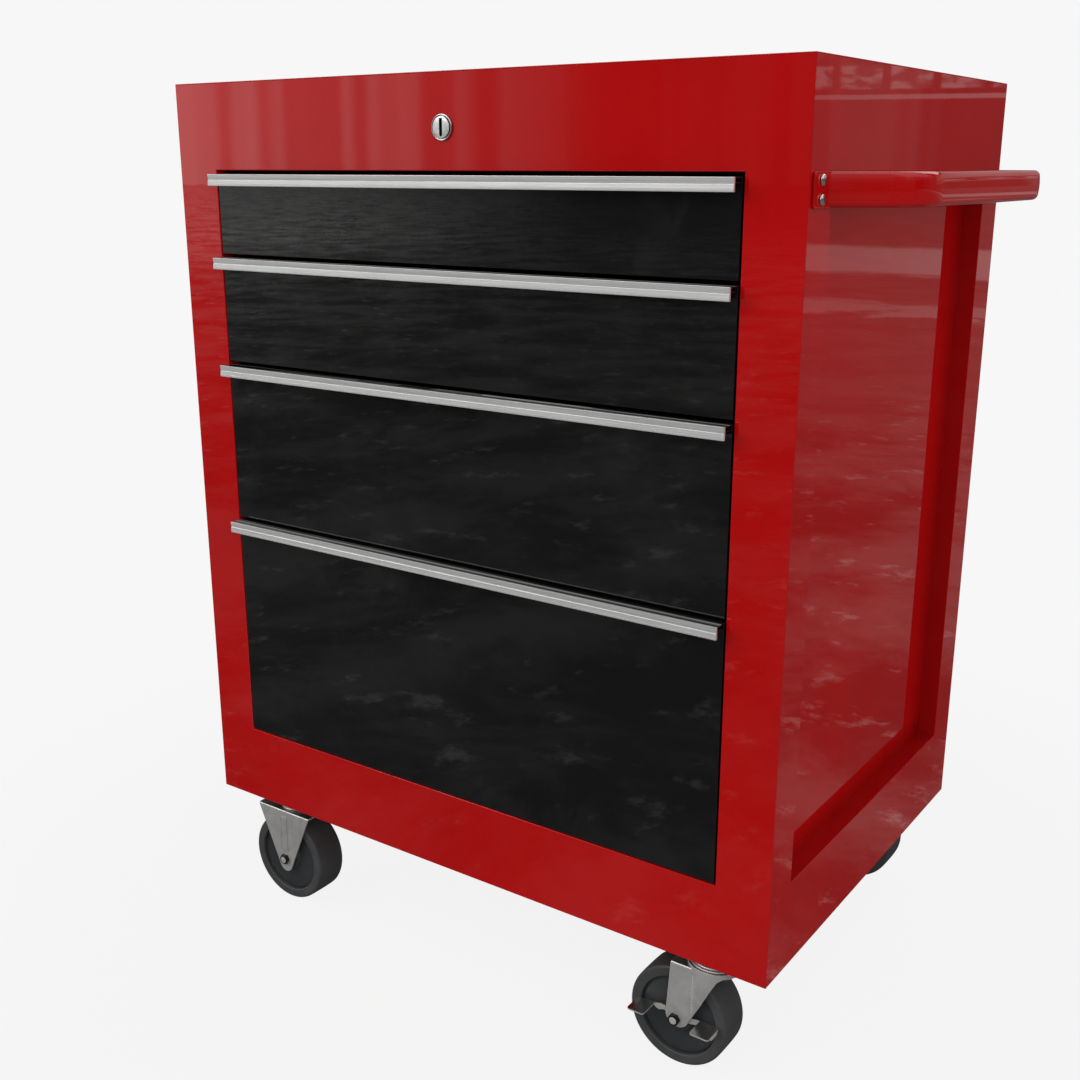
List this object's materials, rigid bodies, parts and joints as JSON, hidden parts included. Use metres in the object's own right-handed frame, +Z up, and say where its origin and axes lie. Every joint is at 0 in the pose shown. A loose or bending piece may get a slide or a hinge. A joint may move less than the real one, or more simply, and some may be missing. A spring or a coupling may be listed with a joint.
{
  "type": "rolling tool cabinet",
  "caption": "Wheeled steel tool cabinet with full-width pull-out drawers, a keyed lock, a side push handle and fixed and braked swivel casters.",
  "frame": {"origin": "centre of the overall bounding box's footprint, on the floor plane under the wheels", "axes": "+Z up, the drawers open towards -Y, the push handle is on the +X side"},
  "size_m": [0.745, 0.4786, 0.8812],
  "materials": {
    "front_frame": "gloss red powder coat",
    "left_side_panel": "gloss red powder coat",
    "right_side_panel": "gloss red powder coat",
    "back_panel": "gloss red powder coat",
    "top_panel": "gloss red powder coat",
    "bottom_pan": "gloss red powder coat",
    "side_handle": "gloss red powder coat",
    "handle_screw_1": "polished pan head",
    "handle_screw_2": "polished pan head",
    "handle_screw_3": "polished pan head",
    "handle_screw_4": "polished pan head",
    "lock_body": "polished",
    "lock_plug": "polished",
    "lock_nut": "dark zinc plated",
    "lock_cam": "zinc plated",
    "lock_bar": "zinc plated",
    "drawer_1_box": "gloss black powder coat",
    "drawer_1_pull": "brushed lengthwise, clear anodised",
    "drawer_1_rail_left": "zinc plated",
    "drawer_1_rail_right": "zinc plated",
    "cabinet_rail_1_left": "zinc plated",
    "cabinet_rail_1_right": "zinc plated",
    "drawer_2_box": "gloss black powder coat",
    "drawer_2_pull": "brushed lengthwise, clear anodised",
    "drawer_2_rail_left": "zinc plated",
    "drawer_2_rail_right": "zinc plated",
    "cabinet_rail_2_left": "zinc plated",
    "cabinet_rail_2_right": "zinc plated",
    "drawer_3_box": "gloss black powder coat",
    "drawer_3_pull": "brushed lengthwise, clear anodised",
    "drawer_3_rail_left": "zinc plated",
    "drawer_3_rail_right": "zinc plated",
    "cabinet_rail_3_left": "zinc plated",
    "cabinet_rail_3_right": "zinc plated",
    "drawer_4_box": "gloss black powder coat",
    "drawer_4_pull": "brushed lengthwise, clear anodised",
    "drawer_4_rail_left": "zinc plated",
    "drawer_4_rail_right": "zinc plated",
    "cabinet_rail_4_left": "zinc plated",
    "cabinet_rail_4_right": "zinc plated",
    "caster_front_left_fork": "bright zinc plated, cloudy",
    "caster_front_left_axle": "bright zinc plated",
    "caster_front_left_tyre": "matt, smooth tread",
    "caster_front_left_hub": "moulded, satin",
    "caster_rear_left_fork": "bright zinc plated, cloudy",
    "caster_rear_left_axle": "bright zinc plated",
    "caster_rear_left_tyre": "matt, smooth tread",
    "caster_rear_left_hub": "moulded, satin",
    "caster_front_right_fork": "bright zinc plated, cloudy",
    "caster_front_right_axle": "bright zinc plated",
    "caster_front_right_tyre": "matt, smooth tread",
    "caster_front_right_hub": "moulded, satin",
    "caster_rear_right_fork": "bright zinc plated, cloudy",
    "caster_rear_right_axle": "bright zinc plated",
    "caster_rear_right_tyre": "matt, smooth tread",
    "caster_rear_right_hub": "moulded, satin",
    "caster_front_right_plate": "bright zinc plated",
    "caster_front_right_brake": "zinc plated, satin",
    "caster_rear_right_plate": "bright zinc plated",
    "caster_rear_right_brake": "zinc plated, satin"
  },
  "bodies": {
    "cabinet": {"front_frame": "front_frame", "left_side_panel": "left_side_panel", "right_side_panel": "right_side_panel", "back_panel": "back_panel", "top_panel": "top_panel", "bottom_pan": "bottom_pan", "side_handle": "side_handle", "handle_screw_1": "handle_screw_1", "handle_screw_2": "handle_screw_2", "handle_screw_3": "handle_screw_3", "handle_screw_4": "handle_screw_4", "lock_body": "lock_body", "lock_nut": "lock_nut", "cabinet_rail_1_left": "cabinet_rail_1_left", "cabinet_rail_1_right": "cabinet_rail_1_right", "cabinet_rail_2_left": "cabinet_rail_2_left", "cabinet_rail_2_right": "cabinet_rail_2_right", "cabinet_rail_3_left": "cabinet_rail_3_left", "cabinet_rail_3_right": "cabinet_rail_3_right", "cabinet_rail_4_left": "cabinet_rail_4_left", "cabinet_rail_4_right": "cabinet_rail_4_right", "caster_front_left_fork": "caster_front_left_fork", "caster_front_left_axle": "caster_front_left_axle", "caster_rear_left_fork": "caster_rear_left_fork", "caster_rear_left_axle": "caster_rear_left_axle", "caster_front_right_plate": "caster_front_right_plate", "caster_rear_right_plate": "caster_rear_right_plate"},
    "lock_core": {"lock_plug": "lock_plug", "lock_cam": "lock_cam"},
    "locking_bar": {"lock_bar": "lock_bar"},
    "drawer_1": {"drawer_1_box": "drawer_1_box", "drawer_1_pull": "drawer_1_pull", "drawer_1_rail_left": "drawer_1_rail_left", "drawer_1_rail_right": "drawer_1_rail_right"},
    "drawer_2": {"drawer_2_box": "drawer_2_box", "drawer_2_pull": "drawer_2_pull", "drawer_2_rail_left": "drawer_2_rail_left", "drawer_2_rail_right": "drawer_2_rail_right"},
    "drawer_3": {"drawer_3_box": "drawer_3_box", "drawer_3_pull": "drawer_3_pull", "drawer_3_rail_left": "drawer_3_rail_left", "drawer_3_rail_right": "drawer_3_rail_right"},
    "drawer_4": {"drawer_4_box": "drawer_4_box", "drawer_4_pull": "drawer_4_pull", "drawer_4_rail_left": "drawer_4_rail_left", "drawer_4_rail_right": "drawer_4_rail_right"},
    "wheel_front_left": {"caster_front_left_tyre": "caster_front_left_tyre", "caster_front_left_hub": "caster_front_left_hub"},
    "wheel_rear_left": {"caster_rear_left_tyre": "caster_rear_left_tyre", "caster_rear_left_hub": "caster_rear_left_hub"},
    "wheel_front_right": {"caster_front_right_tyre": "caster_front_right_tyre", "caster_front_right_hub": "caster_front_right_hub"},
    "wheel_rear_right": {"caster_rear_right_tyre": "caster_rear_right_tyre", "caster_rear_right_hub": "caster_rear_right_hub"},
    "swivel_front_right": {"caster_front_right_fork": "caster_front_right_fork", "caster_front_right_axle": "caster_front_right_axle"},
    "brake_front_right": {"caster_front_right_brake": "caster_front_right_brake"},
    "swivel_rear_right": {"caster_rear_right_fork": "caster_rear_right_fork", "caster_rear_right_axle": "caster_rear_right_axle"},
    "brake_rear_right": {"caster_rear_right_brake": "caster_rear_right_brake"}
  },
  "joints": [
    {"name": "drawer_1_slide", "type": "slide", "parent": "cabinet", "child": "drawer_1", "axis": [0, -1, 0], "range_m": [0, 0.3]},
    {"name": "drawer_2_slide", "type": "slide", "parent": "cabinet", "child": "drawer_2", "axis": [0, -1, 0], "range_m": [0, 0.3]},
    {"name": "drawer_3_slide", "type": "slide", "parent": "cabinet", "child": "drawer_3", "axis": [0, -1, 0], "range_m": [0, 0.3]},
    {"name": "drawer_4_slide", "type": "slide", "parent": "cabinet", "child": "drawer_4", "axis": [0, -1, 0], "range_m": [0, 0.3]},
    {"name": "lock_turn", "type": "hinge", "parent": "cabinet", "child": "lock_core", "pos_m": [-0.0325, -0.22335, 0.8352], "axis": [0, 1, 0], "range_deg": [0, 90]},
    {"name": "locking_bar_slide", "type": "slide", "parent": "cabinet", "child": "locking_bar", "axis": [0, 0, 1], "range_m": [0, 0.012]},
    {"name": "wheel_front_left_spin", "type": "hinge", "parent": "cabinet", "child": "wheel_front_left", "pos_m": [-0.2837, -0.19785, 0.05], "axis": [0, 1, 0], "continuous": true},
    {"name": "wheel_rear_left_spin", "type": "hinge", "parent": "cabinet", "child": "wheel_rear_left", "pos_m": [-0.2837, 0.21215, 0.05], "axis": [0, 1, 0], "continuous": true},
    {"name": "swivel_front_right_turn", "type": "hinge", "parent": "cabinet", "child": "swivel_front_right", "pos_m": [0.2475, -0.19785, 0.1092], "axis": [0, 0, 1], "continuous": true},
    {"name": "wheel_front_right_spin", "type": "hinge", "parent": "swivel_front_right", "child": "wheel_front_right", "pos_m": [0.2187, -0.19785, 0.05], "axis": [0, 1, 0], "continuous": true},
    {"name": "brake_front_right_tilt", "type": "hinge", "parent": "swivel_front_right", "child": "brake_front_right", "pos_m": [0.2187, -0.19785, 0.05], "axis": [0, 1, 0], "range_deg": [-12, 12]},
    {"name": "swivel_rear_right_turn", "type": "hinge", "parent": "cabinet", "child": "swivel_rear_right", "pos_m": [0.2475, 0.21215, 0.1092], "axis": [0, 0, 1], "continuous": true},
    {"name": "wheel_rear_right_spin", "type": "hinge", "parent": "swivel_rear_right", "child": "wheel_rear_right", "pos_m": [0.2187, 0.21215, 0.05], "axis": [0, 1, 0], "continuous": true},
    {"name": "brake_rear_right_tilt", "type": "hinge", "parent": "swivel_rear_right", "child": "brake_rear_right", "pos_m": [0.2187, 0.21215, 0.05], "axis": [0, 1, 0], "range_deg": [-12, 12]}
  ],
  "couplings": [
    {"joint": "lock_turn", "follows": "locking_bar_slide", "rad_per_m": 130.89}
  ]
}
